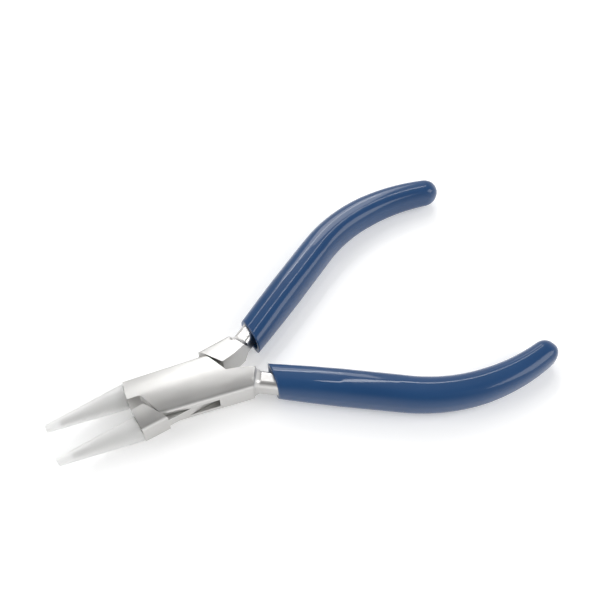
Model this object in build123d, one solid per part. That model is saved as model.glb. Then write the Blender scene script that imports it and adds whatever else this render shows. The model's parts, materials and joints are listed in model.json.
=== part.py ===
from build123d import *
import os
from math import cos, radians, sin, sqrt

# Round nose pliers with nylon jaw sleeves: a box joint, two conical jaws and two long vinyl grips.
# Millimetres. The origin is the centre of the pivot, +Z runs along the pivot and +X to the handles.
# The halves are drawn closed. The tongue half has its jaw at -X -Y and its handle at +X +Y, and the
# box half is made from the same shapes mirrored in Y. Each half then turns about the pivot by half
# of the opening, to lie as the pliers are kept.

# ---- driving dimensions ----
OPENING = 12.4                # degrees between the halves as the pliers lie open
MATING_GAP = 0.1              # between the two mating faces when closed

BOX_FRONT = 15.8              # front face of the joint, from the pivot
BOX_REAR = 17.7               # outer rear corner of the joint
REAR_SPARE = 5.0              # the joint is drawn this much longer, then cut square to the handle
HALF_WIDTH_FRONT = 6.5        # half width of the closed joint
HALF_WIDTH_REAR = 7.2
SIDE_HEIGHT = 7.7             # height of the flat sides
CROWN_HEIGHT = 9.6            # thickness at the top of the dome
EDGE_ROUND = 1.1              # between the dome and the side

SHOULDER_RADIUS = 10.55       # pivot to the tongue half's straight shoulders
SHOULDER_TILT = 30.0          # degrees, the way a shoulder faces, from the X axis
CHEEK_RADIUS = 10.4           # pivot to the edge of the cheeks that face those shoulders
CORNER_ROUND = 0.8            # where a mating face turns into a cheek edge

TONGUE_THICKNESS = 3.3
TONGUE_RADIUS = 10.4
TONGUE_HALF_WIDTH = 6.6
SLOT_HEIGHT = 3.6
SLOT_RADIUS = 10.65

RIVET_RADIUS = 2.0
RIVET_HEAD_RADIUS = 2.7
RIVET_HEAD_DEPTH = 1.2
RIVET_CLEARANCE = 0.04        # radial, in the tongue

JAW_TIP = 38.6                # pivot to the end of a jaw sleeve
SLEEVE_BASE_RADIUS = 3.65
SLEEVE_TIP_RADIUS = 1.15
SLEEVE_TIP_ROUND = 0.5
CORE_TIP = 34.4               # pivot to the end of the steel core
CORE_BASE_RADIUS = 2.3
CORE_TIP_RADIUS = 0.6
CORE_ROOT = 1.0               # how far the core reaches back inside the joint

CROTCH = [(12.18, 0.05), (17.3, 0.95), (23.6, 3.1)]   # inner edge of the neck, an arc
REAR_FACE_POINT = (BOX_REAR, HALF_WIDTH_REAR)

HANDLE_SLOPE = 26.0           # degrees, the straight stretch of the handle
HANDLE_START = (14.2, 0.57)   # where that line starts, inside the joint
HANDLE_STRAIGHT = 47.8        # its length
FIRST_BEND = (50.0, 26.0)     # radius and degrees, back to the pliers' length
SECOND_BEND = (60.0, 24.2)    # radius and degrees, in towards the end
NECK_OFFSET = 0.9             # the steel runs this much outside the middle of its grip

GRIP_MOUTH = 24.0             # the grip is cut off square to the pliers here
REST_FLAT = 5.0               # height of the flat that each grip lies on, above and below

# Sizes along the handle line: distance, width, height. Between two entries they change evenly.
GRIP_SIZES = [
    (6, 8.8, 7.6),
    (14, 9.3, 8.6),
    (30, 9.8, 10.3),
    (46, 9.7, 10.1),
    (70, 9.0, 9.0),
    (97, 6.8, 7.8),
]
STEEL_SIZES = [(6, 5.0, 6.2), (30, 5.2, 5.8), (90, 3.4, 4.2)]
SECTION_STEP = 7.0            # spacing of the sections that a handle piece is drawn through
GRIP_END = 95.4
GRIP_CORNER = 0.36            # corner radius as a share of the width
GRIP_END_ROUND = 2.2
STEEL_END = 88.0
STEEL_CORNER = 0.3            # corner radius as a share of the width

# The dome comes down to the neck in a hollow, which is an arc seen from the side.
HOLLOW_RADIUS = 3.2
HOLLOW_END = 8.6              # distance along the handle line where the hollow is lowest
HOLLOW_LIFT = 0.06            # the hollow cut in the joint clears the neck's root by this much
ROOT_START = (1.5, 6.6, 7.8)  # distance, width and height of the neck's root inside the joint
ROOT_CURVE = 5.9              # distance where the root starts to follow the hollow
ROOT_WIDTH = 4.6              # the root's size where the hollow is lowest, just inside the bar
ROOT_HEIGHT = 5.9
ROOT_SPREAD = 1.5             # the root widens by this much for each millimetre that it rises
ROOT_STEPS = 6

# A grip's mouth stands clear of the neck. Distance, width and height again.
MOUTH_SIZES = [(6.0, 7.4, 7.0), (13.0, 7.1, 7.1), (21.0, 3.6, 4.2)]
MOUTH_CORNER = 0.25

BIG = 120.0                   # reach of the cutting solids


# ---- shared shapes ----
def slab(face, height):
    """A flat plate of this outline, centred on the middle plane."""
    return extrude(Pos(0, 0, -height / 2) * face, amount=height)


def round_corner(plan, corner, radius):
    """The same outline with one corner rounded."""
    return fillet(plan.vertices().sort_by_distance(corner)[0], radius)


def joint_section(x, half_width):
    """Cross-section of the closed joint: flat sides, domed top and bottom, rounded edges."""
    side = SIDE_HEIGHT / 2
    crown = CROWN_HEIGHT / 2
    with BuildSketch(Plane.YZ.offset(x)) as section:
        with BuildLine():
            Line((half_width, -side), (half_width, side))
            ThreePointArc((half_width, side), (0, crown), (-half_width, side))
            Line((-half_width, side), (-half_width, -side))
            ThreePointArc((-half_width, -side), (0, -crown), (half_width, -side))
        make_face()
        fillet(section.vertices(), radius=EDGE_ROUND)
    return section.sketch


def joint_form():
    """The whole closed joint, widening to the rear and hollowed down towards the neck."""
    length = BOX_FRONT + BOX_REAR + REAR_SPARE
    growth = (HALF_WIDTH_REAR - HALF_WIDTH_FRONT) / (BOX_FRONT + BOX_REAR)
    front = joint_section(-BOX_FRONT, HALF_WIDTH_FRONT)
    rear = joint_section(-BOX_FRONT + length, HALF_WIDTH_FRONT + growth * length)
    form = loft([front, rear], ruled=True)
    behind = Plane(REAR_FACE_POINT, x_dir=(0, 0, 1), z_dir=heading())
    return split(form, bisect_by=behind, keep=Keep.BOTTOM) - hollows()


def hollows():
    """Two rods across the handle, above and below the neck, whose sides cut the hollows."""
    along = Vector(heading())
    outward = Vector(-along.Y, along.X, 0)
    lowest = Vector(HANDLE_START) + along * HOLLOW_END
    lift = Vector(0, 0, ROOT_HEIGHT / 2 + HOLLOW_LIFT + HOLLOW_RADIUS)
    rod = Cylinder(HOLLOW_RADIUS, BIG)
    return [Plane(lowest + lift * side, z_dir=outward) * rod for side in (-1, 1)]


def heading():
    """Direction of the straight stretch of the handle."""
    return (cos(radians(HANDLE_SLOPE)), sin(radians(HANDLE_SLOPE)), 0)


def beyond_line(distance, straight):
    """Plan of everything past a shoulder line on the jaw side, up to the mating plane at straight.

    The line faces the way that SHOULDER_TILT says and passes this far from the pivot.
    """
    tilt = radians(SHOULDER_TILT)
    at_mating = (-(distance + straight * sin(tilt)) / cos(tilt), straight)
    at_side = (-(distance - BIG * sin(tilt)) / cos(tilt), -BIG)
    plan = make_face(Polyline(at_mating, at_side, (-BIG, -BIG), (-BIG, straight), close=True))
    return round_corner(plan, at_mating, CORNER_ROUND + MATING_GAP)


def beyond_cheek(straight):
    """Plan of the space in front of a cheek: past its straight edge, then past an arc about the pivot."""
    tilt = radians(SHOULDER_TILT)
    start = (-(CHEEK_RADIUS + straight * sin(tilt)) / cos(tilt), straight)
    foot = (-CHEEK_RADIUS * cos(tilt), -CHEEK_RADIUS * sin(tilt))
    lowest = (0, -CHEEK_RADIUS)
    turn = radians((90 - SHOULDER_TILT) / 2 + SHOULDER_TILT)
    middle = (-CHEEK_RADIUS * cos(turn), -CHEEK_RADIUS * sin(turn))
    edges = Line(start, foot) + ThreePointArc(foot, middle, lowest)
    edges += Polyline(lowest, (0, -BIG), (-BIG, -BIG), (-BIG, straight), start)
    return round_corner(make_face(edges), start, CORNER_ROUND)


def swing_space(radius, gap):
    """Plan of the disc that the tongue turns in, with the two quarters that it leaves by.

    Each quarter stops this gap short of the mating plane.
    """
    quarter = Pos(-BIG / 2, -BIG / 2 - gap) * Rectangle(BIG, BIG)
    opposite = Pos(BIG / 2, BIG / 2 + gap) * Rectangle(BIG, BIG)
    return Circle(radius) + quarter + opposite


def below_crotch():
    """Plan of the open space between the handles, which trims the neck's inner edge."""
    first, middle, last = CROTCH
    edges = ThreePointArc(first, middle, last)
    edges += Polyline(last, (last[0], -BIG), (first[0], -BIG), first)
    return make_face(edges)


# ---- handle line ----
def handle_line():
    """One straight stretch and two bends, from inside the joint to the end of the handle."""
    slope = radians(HANDLE_SLOPE)
    start_x, start_y = HANDLE_START
    bend_start = (start_x + HANDLE_STRAIGHT * cos(slope), start_y + HANDLE_STRAIGHT * sin(slope))
    straight = Line(HANDLE_START, bend_start)
    first = JernArc(straight @ 1, straight % 1, FIRST_BEND[0], -FIRST_BEND[1])
    second = JernArc(first @ 1, first % 1, SECOND_BEND[0], -SECOND_BEND[1])
    return Wire([straight, first, second])


def across_handle(line, distance, offset, width, height, corner):
    """A rounded rectangle standing across the handle line."""
    place = line.position_at(distance, position_mode=PositionMode.LENGTH)
    along = line.tangent_at(distance, position_mode=PositionMode.LENGTH)
    outward = Vector(-along.Y, along.X, 0)
    plane = Plane(place + outward * offset, x_dir=outward, z_dir=along)
    return plane * RectangleRounded(width, height, corner * width)


def sizes_at(sizes, distance):
    """Width and height at one distance, read evenly between the entries on each side of it."""
    for (near, *first), (far, *second) in zip(sizes, sizes[1:]):
        if distance <= far:
            break
    share = (distance - near) / (far - near)
    return [a + (b - a) * share for a, b in zip(first, second)]


def long_form(line, sizes, offset, end, corner):
    """A smooth bar along the handle line, through evenly spaced sections."""
    start = sizes[0][0]
    count = round((end - start) / SECTION_STEP)
    stations = [start + (end - start) * i / count for i in range(count + 1)]
    return loft([across_handle(line, s, offset, *sizes_at(sizes, s), corner) for s in stations])


def root_section(line, distance):
    """Section of the neck's root, which rises towards the joint along the hollow's arc."""
    rise = HOLLOW_RADIUS - sqrt(HOLLOW_RADIUS**2 - (HOLLOW_END - distance) ** 2)
    width = ROOT_WIDTH + ROOT_SPREAD * rise
    height = ROOT_HEIGHT + 2 * rise
    return across_handle(line, distance, NECK_OFFSET, width, height, STEEL_CORNER)


def neck_root(line):
    """The thick start of the handle, from inside the joint down to the bar."""
    start, width, height = ROOT_START
    sections = [across_handle(line, start, NECK_OFFSET, width, height, STEEL_CORNER)]
    for step in range(ROOT_STEPS + 1):
        distance = ROOT_CURVE + (HOLLOW_END - ROOT_CURVE) * step / ROOT_STEPS
        sections.append(root_section(line, distance))
    return loft(sections, ruled=True)


def steel_handle(line):
    """The bar that leaves the joint by a hollowed neck and runs on inside the grip."""
    return long_form(line, STEEL_SIZES, NECK_OFFSET, STEEL_END, STEEL_CORNER) + neck_root(line)


def grip(line, steel):
    """Vinyl grip: a closed outer form, cut square at the mouth and hollowed by the steel."""
    form = long_form(line, GRIP_SIZES, 0, GRIP_END, GRIP_CORNER)
    form = fillet(form.faces().sort_by(Axis.X)[-1].edges(), GRIP_END_ROUND)
    form = split(form, bisect_by=Plane.YZ.offset(GRIP_MOUTH), keep=Keep.TOP)
    form &= Pos(BIG, 0, 0) * Box(2 * BIG, 2 * BIG, 2 * REST_FLAT)
    mouth = loft([across_handle(line, s, 0, w, h, MOUTH_CORNER) for s, w, h in MOUTH_SIZES], ruled=True)
    return form - steel - mouth


# ---- jaws ----
def jaw_cone(start, end, base_radius, tip_radius):
    """A cone whose inner edge lies along the mating plane, between two distances from the pivot."""
    base_middle = SLEEVE_BASE_RADIUS + MATING_GAP / 2
    tip_middle = SLEEVE_TIP_RADIUS + MATING_GAP / 2
    slope = (base_middle - tip_middle) / (JAW_TIP - BOX_FRONT)

    def ring(x, radius):
        middle = base_middle - slope * (x - BOX_FRONT)
        return Plane((-x, -middle, 0), x_dir=(0, 1, 0), z_dir=(-1, 0, 0)) * Circle(radius)

    return loft([ring(start, base_radius), ring(end, tip_radius)])


def steel_core():
    """The cone of the steel jaw, rooted inside the joint."""
    return jaw_cone(BOX_FRONT - CORE_ROOT, CORE_TIP, CORE_BASE_RADIUS, CORE_TIP_RADIUS)


def jaw_sleeve(core):
    """Nylon sleeve pushed over the steel core, solid past its end."""
    sleeve = jaw_cone(BOX_FRONT, JAW_TIP, SLEEVE_BASE_RADIUS, SLEEVE_TIP_RADIUS)
    tip_edge = sleeve.edges().sort_by(Axis.X)[0]
    return fillet(tip_edge, SLEEVE_TIP_ROUND) - core


# ---- rivet ----
def rivet(form):
    """Pivot rivet with two countersunk heads, ground flush with the dome."""
    shank = Cylinder(RIVET_RADIUS, CROWN_HEIGHT)
    head = Cone(RIVET_RADIUS, RIVET_HEAD_RADIUS, RIVET_HEAD_DEPTH)
    head_middle = (CROWN_HEIGHT - RIVET_HEAD_DEPTH) / 2
    upper = Pos(0, 0, head_middle) * head
    lower = Pos(0, 0, -head_middle) * Rot(180, 0, 0) * head
    return (shank + upper + lower) & form


# ---- halves ----
def tongue_half(form, bar, core):
    """Jaw block and handle block joined by the thin tongue that passes through the other half."""
    jaw_plan = beyond_line(SHOULDER_RADIUS, -MATING_GAP / 2)
    handle_plan = Rot(0, 0, 180) * jaw_plan
    blocks = form & (slab(jaw_plan, BIG) + slab(handle_plan, BIG))
    flat = Rectangle(2 * BIG, 2 * TONGUE_HALF_WIDTH) & swing_space(TONGUE_RADIUS, MATING_GAP)
    tongue = form & slab(flat, TONGUE_THICKNESS)
    hole = Cylinder(RIVET_RADIUS + RIVET_CLEARANCE, CROWN_HEIGHT)
    return blocks + tongue + bar + core - slab(below_crotch(), BIG) - hole


def box_half(form, bar, core, pin):
    """Two cheeks with a slot between them, in one piece with a jaw block and a handle block."""
    jaw_space = beyond_cheek(MATING_GAP / 2)
    handle_space = Rot(0, 0, 180) * jaw_space
    open_sides = slab(jaw_space, BIG) + slab(handle_space, BIG)
    slot = slab(swing_space(SLOT_RADIUS, 0), SLOT_HEIGHT)
    crotch = mirror(slab(below_crotch(), BIG), about=Plane.XZ)
    return form + bar + core - open_sides - slot - crotch - pin


def build():
    """Every piece in its resting place, by name."""
    line = handle_line()
    form = joint_form()
    bar = steel_handle(line)
    core = steel_core()
    sleeve = jaw_sleeve(core)
    cover = grip(line, bar)
    pin = rivet(form)

    tongue_side = {
        "tongue_half": tongue_half(form, bar, core),
        "tongue_jaw_sleeve": sleeve,
        "tongue_handle_grip": cover,
    }
    drawn = (form, bar, core, sleeve, cover)
    form, bar, core, sleeve, cover = [mirror(shape, about=Plane.XZ) for shape in drawn]
    box_side = {
        "box_half": box_half(form, bar, core, pin),
        "box_jaw_sleeve": sleeve,
        "box_handle_grip": cover,
        "pivot_rivet": pin,
    }
    turned = {name: Rot(0, 0, OPENING / 2) * shape for name, shape in tongue_side.items()}
    turned.update({name: Rot(0, 0, -OPENING / 2) * shape for name, shape in box_side.items()})
    return turned


os.makedirs("parts", exist_ok=True)
for name, shape in build().items():
    export_step(shape, f"parts/{name}.step")
    print(name, len(shape.solids()), "solid", round(shape.volume, 1), "mm3", shape.is_valid)
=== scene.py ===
# %% [markdown]
# # Round nose pliers
# These pliers bend jewellery wire round two cones. The tool is two steel forgings, one passing
# through the other, on a flush rivet. White nylon sleeves cover the cones so that they don't mark
# soft wire, and blue vinyl covers the handles. The frame brings the steel in at its real size.
# This lesson adds the soft outer pieces as surfaces worked out with numpy, then the finishes.

# %% Load the frame
import json
import math
import bpy
import numpy as np
from mathutils import Matrix, Vector


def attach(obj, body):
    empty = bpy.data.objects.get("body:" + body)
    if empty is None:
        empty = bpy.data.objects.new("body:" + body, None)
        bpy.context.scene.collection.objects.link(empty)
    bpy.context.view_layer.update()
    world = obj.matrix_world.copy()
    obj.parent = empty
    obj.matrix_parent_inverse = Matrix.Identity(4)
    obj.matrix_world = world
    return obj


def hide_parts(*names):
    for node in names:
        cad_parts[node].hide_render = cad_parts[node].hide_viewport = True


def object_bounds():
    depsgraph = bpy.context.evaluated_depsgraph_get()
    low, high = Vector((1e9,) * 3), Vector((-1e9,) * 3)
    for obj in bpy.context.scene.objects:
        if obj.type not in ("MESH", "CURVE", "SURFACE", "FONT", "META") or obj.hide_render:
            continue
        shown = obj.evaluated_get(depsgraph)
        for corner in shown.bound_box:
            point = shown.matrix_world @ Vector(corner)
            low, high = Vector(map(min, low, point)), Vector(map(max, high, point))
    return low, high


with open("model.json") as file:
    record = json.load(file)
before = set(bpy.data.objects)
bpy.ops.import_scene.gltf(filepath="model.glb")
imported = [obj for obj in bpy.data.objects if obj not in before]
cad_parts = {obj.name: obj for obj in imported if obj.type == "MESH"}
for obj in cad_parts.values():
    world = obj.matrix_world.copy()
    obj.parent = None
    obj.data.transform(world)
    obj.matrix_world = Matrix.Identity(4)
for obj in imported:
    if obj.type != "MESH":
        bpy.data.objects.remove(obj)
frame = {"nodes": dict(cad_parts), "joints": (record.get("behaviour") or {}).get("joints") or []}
cad_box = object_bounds()
mm = 0.001

# %% [markdown]
# ## How the two halves lie
# The pliers are kept a little open. It is easier to work out a handle on closed pliers, so each
# soft piece is made closed and then turned about the pivot by half of the opening. The joint's own
# range says how much that is: its lower end is where the jaws meet.

# %% Opening and turning
hinge = frame["joints"][0]
half_opening = math.radians(-hinge["range_deg"][0] / 2)


def kept_open(points, side):
    """Turn closed points about +Z by half of the opening; side is +1 for the tongue half.

    The box half is the mirror image of the tongue half, so its points are mirrored in Y first.
    """
    x, y, z = points[..., 0], side * points[..., 1], points[..., 2]
    turn = side * half_opening
    turned_x = x * math.cos(turn) - y * math.sin(turn)
    turned_y = x * math.sin(turn) + y * math.cos(turn)
    return np.stack([turned_x, turned_y, z], axis=-1)


sides = {"tongue": 1, "box": -1}
print("each half turned by", round(math.degrees(half_opening), 2), "degrees")

# %% [markdown]
# ## From a grid of points to a mesh
# Every new piece is a grid: rows go along the piece, and each row is a ring round it. Neighbouring
# points make four-sided faces. A piece closes at each end on one pole point, so that it has an
# inside and can be printed or weighed. Mirroring flips a surface, so the mirrored half's faces are
# listed the other way round.

# %% Grid to mesh
def ring_mesh(name, rings, side):
    """Mesh of rings[row, point] in mm, with a pole at each end where a row shrinks to its middle."""
    rows, around = rings.shape[:2]
    poles = rings[[0, -1]].mean(axis=1)
    points = kept_open(np.vstack([rings.reshape(-1, 3), poles]) * mm, side)
    row, col = np.meshgrid(np.arange(rows - 1), np.arange(around), indexing="ij")
    here = row * around + col
    beside = row * around + (col + 1) % around
    quads = np.stack([here, beside, beside + around, here + around], axis=-1).reshape(-1, 4)
    ring = np.arange(around)
    following = (ring + 1) % around
    last = (rows - 1) * around
    first_fan = np.stack([following, ring, np.full(around, rows * around)], axis=-1)
    last_fan = np.stack([last + ring, last + following, np.full(around, rows * around + 1)], axis=-1)
    faces = quads.tolist() + first_fan.tolist() + last_fan.tolist()
    if side < 0:
        faces = [face[::-1] for face in faces]
    mesh = bpy.data.meshes.new(name)
    mesh.from_pydata(points.tolist(), [], faces)
    mesh.polygons.foreach_set("use_smooth", np.ones(len(faces), dtype=bool))
    mesh.update()
    piece = bpy.data.objects.new(name, mesh)
    bpy.context.scene.collection.objects.link(piece)
    print(name, len(points), "points", len(faces), "faces")
    return piece


# %% [markdown]
# ## Nylon jaw sleeves
# A sleeve is turned or moulded as one cone with a bore that fits the steel core. It is a surface
# of revolution: a profile of distance and radius, spun about a tilted axis. The axis tilts so that
# the inner edges of the two closed cones lie along the mating plane. The profile runs in through
# the bore, round the base and along the outside to a rounded tip.

# %% Sleeve profile
box_front = 15.8        # front face of the joint, from the pivot
jaw_tip = 38.6
base_radius = 3.65
tip_radius = 1.15
mating_half_gap = 0.05  # half of what stays between the closed sleeves
core_tip = 34.4         # end of the steel core inside
core_radii = (2.3, 0.6)
bore_gap = 0.02         # between the core and the bore
bore_spare = 0.1        # the bore runs this much past the core
base_gap = 0.16         # the sleeve's base stands this much off the steel, as a fine dark line
edge_inset = 0.03       # keeps the outside just within the plain solid it stands for
tip_inset = 0.01
pole_radius = 0.001     # the profile ends almost on its axis


def arc(middle, radius, start, end, count):
    """Points of a circular arc in the profile: distance and radius, angles in degrees."""
    angle = np.radians(np.linspace(start, end, count))
    return np.stack([middle[0] + radius * np.cos(angle), middle[1] + radius * np.sin(angle)], axis=-1)


def straight(first, last, count):
    """Evenly spaced points between two points of the profile, without the last one."""
    share = np.linspace(0, 1, count, endpoint=False)[:, None]
    return np.array(first) * (1 - share) + np.array(last) * share


def sleeve_profile():
    """Bore from its blind end to the base, base edge, outside and tip, as (distance, radius)."""
    bore_end = (core_tip + bore_spare, core_radii[1] + bore_gap)
    bore_base = (box_front + base_gap, core_radii[0] + bore_gap)
    slope = (base_radius - tip_radius) / (jaw_tip - box_front)
    edge = 0.25
    tip_edge = 0.55
    base_middle = (box_front + base_gap + edge, base_radius - edge - edge_inset)
    base_corner = arc(base_middle, edge, 180, 90, 7)
    tip_middle = (jaw_tip - tip_edge, tip_radius + slope * tip_edge - tip_edge - tip_inset)
    tip_corner = arc(tip_middle, tip_edge, 84, 0, 10)
    pieces = [
        np.array([[bore_end[0], pole_radius]]),
        straight(bore_end, bore_base, 24),
        straight(bore_base, base_corner[0], 6),
        base_corner,
        straight(base_corner[-1], tip_corner[0], 60)[1:],
        tip_corner,
        np.array([[jaw_tip, pole_radius]]),
    ]
    return np.vstack(pieces)


def jaw_sleeve(name, side, around=96):
    """Spin the profile about the jaw's axis.

    A point is at x = -distance, and its ring's middle moves evenly from the base's to the tip's.
    """
    profile = sleeve_profile()
    distance, radius = profile[:, 0, None], profile[:, 1, None]
    angle = np.linspace(0, 2 * np.pi, around, endpoint=False)[None, :]
    share = (distance - box_front) / (jaw_tip - box_front)
    middle = mating_half_gap + base_radius * (1 - share) + tip_radius * share
    rings = np.stack([
        -distance + 0 * angle,
        -middle - radius * np.cos(angle),
        radius * np.sin(angle),
    ], axis=-1)
    return ring_mesh(name, rings, side)


sleeves = {half: jaw_sleeve(f"{half}_nylon_sleeve", side) for half, side in sides.items()}

# %% [markdown]
# ## Vinyl grips
# A grip is a vinyl sleeve pushed over, or dipped onto, the steel. Its section is a superellipse, a
# shape between an oval and a rectangle, which gives the flattened top and soft shoulders that
# catch two lines of light. The section is carried along a handle line made of one straight stretch
# and two bends. The mouth is cut square to the pliers and not to the handle, so every lengthwise
# line of the surface starts where it meets that cut.

# %% Handle line
slope = math.radians(26.0)
line_start = np.array([14.2, 0.57])
straight_length = 47.8
bends = [(50.0, math.radians(26.0)), (60.0, math.radians(24.2))]


def handle_line(distance):
    """Place and direction on the handle line, for an array of distances along it.

    The direction's angle is the slope, less the length run in each bend over that bend's radius.
    On a bend the place moves from its start by the radius times the change in sine and cosine.
    """
    run = np.minimum(distance, straight_length)
    x = line_start[0] + run * math.cos(slope)
    y = line_start[1] + run * math.sin(slope)
    angle = np.full_like(distance, slope)
    begin, heading = straight_length, slope
    for radius, turn in bends:
        last = begin + radius * turn
        bent = np.clip(distance - begin, 0, radius * turn) / radius
        x = x + radius * (np.sin(heading) - np.sin(heading - bent))
        y = y - radius * (np.cos(heading) - np.cos(heading - bent))
        angle = angle - bent
        begin, heading = last, heading - turn
    beyond = np.maximum(distance - begin, 0)
    return x + beyond * np.cos(angle), y + beyond * np.sin(angle), angle


print("handle line ends at", [round(float(v[0]), 2) for v in handle_line(np.array([95.4]))])

# %% Grip surface
mouth_plane = 24.0      # the mouth is cut across the pliers here
mouth_distance = 11.0   # and there the handle line has run about this far
grip_end = 95.4
end_round = 4.6         # length of the rounded nose
nose_power = 2.3
lip = 1.0               # thickness of the vinyl at the mouth
squareness = 2.7        # 2 would make the section an ellipse, and more makes it squarer
crowding = 1.35         # above 1, rings stand closer together towards the nose
# Distance along the handle line, width and height.
grip_sizes = np.array([
    (6, 8.8, 7.6), (14, 9.3, 8.6), (22, 9.6, 9.6), (30, 9.8, 9.95), (46, 9.7, 9.9), (58, 9.4, 9.5),
    (70, 9.0, 9.0), (84, 7.9, 8.4), (97, 6.8, 7.8),
])


def grip_rings(around=128, along=220):
    """Outside of a grip from the mouth to the end, as rings.

    Point: place on the line, plus the outward direction times a superellipse's cosine term and +Z
    times its sine term. Near the end the section shrinks like the side of a rounded nose.
    """
    angle = np.linspace(0, 2 * np.pi, around, endpoint=False)[None, :]
    power = 2 / squareness
    wide = np.sign(np.cos(angle)) * np.abs(np.cos(angle)) ** power / 2
    high = np.sign(np.sin(angle)) * np.abs(np.sin(angle)) ** power / 2
    share = np.linspace(0, 1, along)[:, None]
    share = 1 - (1 - share) ** crowding
    first_width = np.interp(mouth_distance, grip_sizes[:, 0], grip_sizes[:, 1])
    start = (mouth_plane - line_start[0] + wide * first_width * math.sin(slope)) / math.cos(slope)
    distance = start + (grip_end - start) * share
    to_end = np.clip((grip_end - distance) / end_round, 0, 1)
    nose = np.sqrt(1 - (1 - to_end) ** nose_power)
    width = np.interp(distance, grip_sizes[:, 0], grip_sizes[:, 1]) * nose
    height = np.interp(distance, grip_sizes[:, 0], grip_sizes[:, 2]) * nose
    x, y, heading = handle_line(distance)
    x = x - np.sin(heading) * wide * width
    y = y + np.cos(heading) * wide * width
    return np.stack([x, y, high * height], axis=-1)


lip_round = 0.12
mouth_steps = [(9.0, 0.05), (8.8, 0.55), (6.0, 0.68), (3.0, 0.74), (0.8, 0.78)]  # depth and share


def with_mouth(outside):
    """Add the mouth in front of the outside: a rounded lip, a wall inside it and a closed floor.

    Each inner ring is the first ring drawn in towards its own middle and moved along the handle.
    """
    first = outside[0]
    middle = first.mean(axis=0)
    along = np.array([math.cos(slope), math.sin(slope), 0])
    size = np.linalg.norm(first - middle, axis=1).mean()
    turn = np.radians(np.linspace(180, 0, 9))
    wall = lip / size
    rounded = [(lip_round * (1 - math.sin(t)), 1 - wall / 2 + wall / 2 * math.cos(t)) for t in turn]
    inner = [middle + (first - middle) * scale + along * depth for depth, scale in mouth_steps + rounded[:-1]]
    return np.concatenate([np.array(inner), outside])


def grip(name, side):
    """One grip, from the floor of its mouth to its rounded end."""
    return ring_mesh(name, with_mouth(grip_rings()), side)


grips = {half: grip(f"{half}_vinyl_grip", side) for half, side in sides.items()}

# %% [markdown]
# ## Riding on the frame
# Each soft piece moves with one half of the pliers, and stands for the plain solid that the
# simulation uses.

# %% Bodies and replaced solids
for half in sides:
    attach(sleeves[half], f"{half}_side")
    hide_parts(f"{half}_jaw_sleeve")
    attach(grips[half], f"{half}_side")
    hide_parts(f"{half}_handle_grip")

# %% [markdown]
# ## Shared shader groups
# Real surfaces are never even, so every finish here gets a slow drift and a fine grain. Both come
# from one group, built once: it reads noise and spreads it between two values. A second group
# stretches noise along one direction, which is what a grinding belt leaves on steel.

# %% Group helpers
def new_group(name, inputs, outputs):
    """An empty shader group with named float or vector sockets."""
    group = bpy.data.node_groups.new(name, "ShaderNodeTree")
    for label, kind, value in inputs:
        socket = group.interface.new_socket(label, in_out="INPUT", socket_type=kind)
        if value is not None:
            socket.default_value = value
    for label, kind in outputs:
        group.interface.new_socket(label, in_out="OUTPUT", socket_type=kind)
    return group, group.nodes.new("NodeGroupInput"), group.nodes.new("NodeGroupOutput")


def spread_noise():
    """Noise at one scale, its middle stretched over the range from Low to High."""
    inputs = [
        ("Vector", "NodeSocketVector", None),
        ("Scale", "NodeSocketFloat", 100.0),
        ("Low", "NodeSocketFloat", 0.0),
        ("High", "NodeSocketFloat", 1.0),
    ]
    group, source, result = new_group("Spread Noise", inputs, [("Value", "NodeSocketFloat")])
    noise = group.nodes.new("ShaderNodeTexNoise")
    noise.inputs["Detail"].default_value = 3.0
    spread = group.nodes.new("ShaderNodeMapRange")
    spread.clamp = False
    spread.inputs["From Min"].default_value = 0.25
    spread.inputs["From Max"].default_value = 0.75
    group.links.new(source.outputs["Vector"], noise.inputs["Vector"])
    group.links.new(source.outputs["Scale"], noise.inputs["Scale"])
    group.links.new(noise.outputs["Fac"], spread.inputs["Value"])
    group.links.new(source.outputs["Low"], spread.inputs["To Min"])
    group.links.new(source.outputs["High"], spread.inputs["To Max"])
    group.links.new(spread.outputs["Result"], result.inputs["Value"])
    return group


def grinding_lines():
    """Noise drawn out along X by Length, so that it reads as fine parallel lines."""
    inputs = [
        ("Vector", "NodeSocketVector", None),
        ("Fineness", "NodeSocketFloat", 4000.0),
        ("Length", "NodeSocketFloat", 20.0),
    ]
    group, source, result = new_group("Grinding Lines", inputs, [("Height", "NodeSocketFloat")])
    stretch = group.nodes.new("ShaderNodeCombineXYZ")
    stretch.inputs["Y"].default_value = 1.0
    stretch.inputs["Z"].default_value = 1.0
    shorten = group.nodes.new("ShaderNodeMath")
    shorten.operation = "DIVIDE"
    shorten.inputs[0].default_value = 1.0
    scaled = group.nodes.new("ShaderNodeVectorMath")
    scaled.operation = "MULTIPLY"
    noise = group.nodes.new("ShaderNodeTexNoise")
    noise.inputs["Detail"].default_value = 2.0
    group.links.new(source.outputs["Length"], shorten.inputs[1])
    group.links.new(shorten.outputs["Value"], stretch.inputs["X"])
    group.links.new(source.outputs["Vector"], scaled.inputs[0])
    group.links.new(stretch.outputs["Vector"], scaled.inputs[1])
    group.links.new(scaled.outputs["Vector"], noise.inputs["Vector"])
    group.links.new(source.outputs["Fineness"], noise.inputs["Scale"])
    group.links.new(noise.outputs["Fac"], result.inputs["Height"])
    return group


groups = {"drift": spread_noise(), "lines": grinding_lines()}
print("groups:", [group.name for group in groups.values()])

# %% Material helpers
def new_material(name, settings):
    """A Principled material with uniform values set on the shader's own sockets."""
    material = bpy.data.materials.new(name)
    material.use_nodes = True
    shader = material.node_tree.nodes["Principled BSDF"]
    for label, value in settings.items():
        shader.inputs[label].default_value = value
    place = material.node_tree.nodes.new("ShaderNodeTexCoord")
    return material, shader, place.outputs["Object"]


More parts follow.
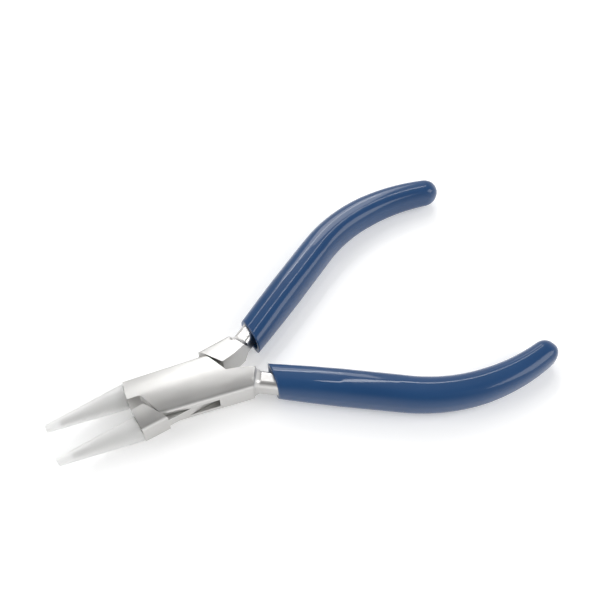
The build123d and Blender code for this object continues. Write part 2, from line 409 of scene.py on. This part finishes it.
def add_group(material, group, vector, values):
    """Place a shared group in a material with its own values."""
    node = material.node_tree.nodes.new("ShaderNodeGroup")
    node.node_tree = group
    material.node_tree.links.new(vector, node.inputs["Vector"])
    for label, value in values.items():
        node.inputs[label].default_value = value
    return node.outputs[0]


def add_bump(material, shader, height, strength, distance):
    """Let a height lean the shader's normal."""
    bump = material.node_tree.nodes.new("ShaderNodeBump")
    bump.inputs["Strength"].default_value = strength
    bump.inputs["Distance"].default_value = distance
    material.node_tree.links.new(height, bump.inputs["Height"])
    material.node_tree.links.new(bump.outputs["Normal"], shader.inputs["Normal"])


def add_tint(material, shader, factor, first, second):
    """Mix two colours by a factor into the base colour."""
    mix = material.node_tree.nodes.new("ShaderNodeMix")
    mix.data_type = "RGBA"
    mix.inputs["A"].default_value = (*first, 1)
    mix.inputs["B"].default_value = (*second, 1)
    material.node_tree.links.new(factor, mix.inputs["Factor"])
    material.node_tree.links.new(mix.outputs["Result"], shader.inputs["Base Color"])


# %% [markdown]
# ## Satin steel
# The joint is belt ground and polished, which leaves a bright satin face with fine lines along
# the tool. The lines only lean the normal a little. The drift changes the roughness, so that the
# long highlight on the domed top breaks up softly.

# %% Steel
def satin_steel():
    """Bright ground steel for the two forgings and the rivet."""
    material, shader, place = new_material("satin_steel", {"Metallic": 1.0})
    drift = add_group(material, groups["drift"], place, {"Scale": 180.0, "Low": 0.3, "High": 0.4})
    material.node_tree.links.new(drift, shader.inputs["Roughness"])
    tint = add_group(material, groups["drift"], place, {"Scale": 60.0})
    add_tint(material, shader, tint, (0.6, 0.594, 0.582), (0.66, 0.652, 0.64))
    lines = add_group(material, groups["lines"], place, {"Fineness": 3500.0, "Length": 25.0})
    add_bump(material, shader, lines, 0.12, 0.00003)
    return material


# %% [markdown]
# ## Milky nylon
# Natural nylon lets light through but scatters it, so the steel core shows as a soft grey cone.
# Rough transmission does that: the sleeve is clear enough to see the core where it lies close
# under the surface and turns white where the nylon is solid.

# %% Nylon
def milky_nylon():
    """Translucent white nylon for the jaw sleeves."""
    settings = {"Transmission Weight": 0.58, "IOR": 1.32}
    material, shader, place = new_material("milky_nylon", settings)
    haze = add_group(material, groups["drift"], place, {"Scale": 250.0, "Low": 0.4, "High": 0.5})
    material.node_tree.links.new(haze, shader.inputs["Roughness"])
    cloud = add_group(material, groups["drift"], place, {"Scale": 120.0})
    add_tint(material, shader, cloud, (0.95, 0.95, 0.94), (0.98, 0.98, 0.975))
    grain = add_group(material, groups["drift"], place, {"Scale": 1500.0})
    add_bump(material, shader, grain, 0.1, 0.00002)
    return material


# %% [markdown]
# ## Blue vinyl
# Dipped vinyl is glossy, and its skin is never quite flat: it has a slow waviness that bends the
# highlights, and a faint fine grain. The colour drifts a little where the skin is thinner.

# %% Vinyl
def blue_vinyl():
    """Glossy blue vinyl for the two grips."""
    settings = {"Coat Weight": 0.55, "Coat Roughness": 0.05, "IOR": 1.46, "Specular IOR Level": 0.25}
    material, shader, place = new_material("blue_vinyl", settings)
    shine = add_group(material, groups["drift"], place, {"Scale": 90.0, "Low": 0.34, "High": 0.44})
    material.node_tree.links.new(shine, shader.inputs["Roughness"])
    depth = add_group(material, groups["drift"], place, {"Scale": 45.0})
    add_tint(material, shader, depth, (0.006, 0.046, 0.142), (0.009, 0.058, 0.17))
    skin = add_group(material, groups["drift"], place, {"Scale": 130.0})
    add_bump(material, shader, skin, 0.25, 0.00012)
    return material


# %% Give the finishes
finishes = {"steel": satin_steel(), "nylon": milky_nylon(), "vinyl": blue_vinyl()}


def finish(piece, material):
    """One material over the whole piece."""
    piece.data.materials.clear()
    piece.data.materials.append(material)


for name in ("box_half", "tongue_half", "pivot_rivet"):
    frame["nodes"][name].material_slots[0].material = finishes["steel"]
for half in sides:
    finish(sleeves[half], finishes["nylon"])
    finish(grips[half], finishes["vinyl"])
print("finishes:", [material.name for material in finishes.values()])

# %% [markdown]
# ## Studio
# A pale floor lies just under the grips. The surround is bright near the horizon and dimmer
# overhead, because steel and vinyl mirror it: a dim patch overhead is what keeps the blue deep.
# Two narrow strips lie along the far grip and draw its two thin highlights, and three soft
# lights fill in the rest: the key behind the pliers brightens the dome, and one stands each side.

# %% Floor, lights and surround
floor_reach = 0.6
floor_height = cad_box[0][2]
floor_mesh = bpy.data.meshes.new("floor")
corners = [(-1, -1), (1, -1), (1, 1), (-1, 1)]
floor_points = [(x * floor_reach, y * floor_reach, floor_height) for x, y in corners]
floor_mesh.from_pydata(floor_points, [], [(0, 1, 2, 3)])
floor = bpy.data.objects.new("floor", floor_mesh)
bpy.context.scene.collection.objects.link(floor)
floor_settings = {
    "Base Color": (0.9, 0.9, 0.9, 1),
    "Roughness": 0.9,
    "Emission Color": (1, 1, 1, 1),
    "Emission Strength": 0.27,
}
floor_paint = new_material("floor_paint", floor_settings)[0]
floor_mesh.materials.append(floor_paint)

world = bpy.data.worlds.new("studio")
bpy.context.scene.world = world
world.use_nodes = True
direction = world.node_tree.nodes.new("ShaderNodeTexCoord")
height = world.node_tree.nodes.new("ShaderNodeSeparateXYZ")
fade = world.node_tree.nodes.new("ShaderNodeMapRange")
for label, value in {"From Min": 0.15, "From Max": 0.75, "To Min": 0.95, "To Max": 0.26}.items():
    fade.inputs[label].default_value = value
world.node_tree.links.new(direction.outputs["Generated"], height.inputs["Vector"])
world.node_tree.links.new(height.outputs["Z"], fade.inputs["Value"])
world.node_tree.links.new(fade.outputs["Result"], world.node_tree.nodes["Background"].inputs["Strength"])
world.node_tree.nodes["Background"].inputs["Color"].default_value = (1, 1, 1, 1)


def look_from(azimuth, elevation, distance, target):
    """Matrix that looks at target along -Z from two angles in degrees; azimuth 0 looks along +Y."""
    turn, rise = math.radians(azimuth), math.radians(elevation)
    right = Vector((math.cos(turn), -math.sin(turn), 0))
    back = Vector((-math.sin(turn) * math.cos(rise), -math.cos(turn) * math.cos(rise), math.sin(rise)))
    up = back.cross(right)
    matrix = Matrix((right, up, back)).transposed().to_4x4()
    matrix.translation = Vector(target) + back * distance
    return matrix


def add_light(name, width, length, power, matrix):
    """A flat light of this width and length, in metres, and power in watts."""
    light = bpy.data.lights.new(name, "AREA")
    light.shape = "RECTANGLE"
    light.size = width
    light.size_y = length
    light.energy = power
    lamp = bpy.data.objects.new(name, light)
    lamp.matrix_world = matrix
    bpy.context.scene.collection.objects.link(lamp)


def strip_light(name, turn, power):
    """A narrow light lying along the far grip, rolled about that grip by turn degrees."""
    along = Vector((math.cos(grip_heading), math.sin(grip_heading), 0))
    overhead = look_from(mirror_azimuth, mirror_elevation, 0, (0, 0, 0)).col[2].to_3d()
    back = Matrix.Rotation(math.radians(turn), 3, along) @ overhead
    side = along.cross(back).normalized()
    length_way = back.cross(side)
    matrix = Matrix((side, length_way, back)).transposed().to_4x4()
    matrix.translation = grip_middle + back * strip_distance
    add_light(name, strip_width, strip_length, power, matrix)


mirror_azimuth = 206    # from here, light glances off a level face towards the camera
mirror_elevation = 56
strip_distance = 0.8
strip_width = 0.03
strip_length = 0.5
grip_heading = slope + half_opening
grip_middle = Vector((0.05, 0.028, 0.005))
strip_light("strip_left", 10, 0.55)
strip_light("strip_right", -10, 0.55)
pivot = (0.0, 0.0, 0.0)
add_light("key", 0.3, 0.3, 1.3, look_from(206, 38, 0.8, pivot))
add_light("left", 0.5, 0.5, 2.6, look_from(110, 38, 0.9, pivot))
add_light("right", 0.5, 0.5, 2.6, look_from(300, 38, 0.9, pivot))
bpy.context.scene.view_settings.view_transform = "Standard"

# %% [markdown]
# ## Camera
# It looks down at 56 degrees from the jaws' side, close enough for a little perspective.

# %% Camera
camera_data = bpy.data.cameras.new("camera")
camera_data.lens = 51.22
camera_data.sensor_width = 36.0
camera_data.clip_start = 0.005
camera = bpy.data.objects.new("camera", camera_data)
bpy.context.scene.collection.objects.link(camera)
camera.matrix_world = look_from(25.76, 56.0, 0.0, (-0.0199, -0.1145, 0.2106))
bpy.context.scene.camera = camera

# %% Update the scene
bpy.context.view_layer.update()
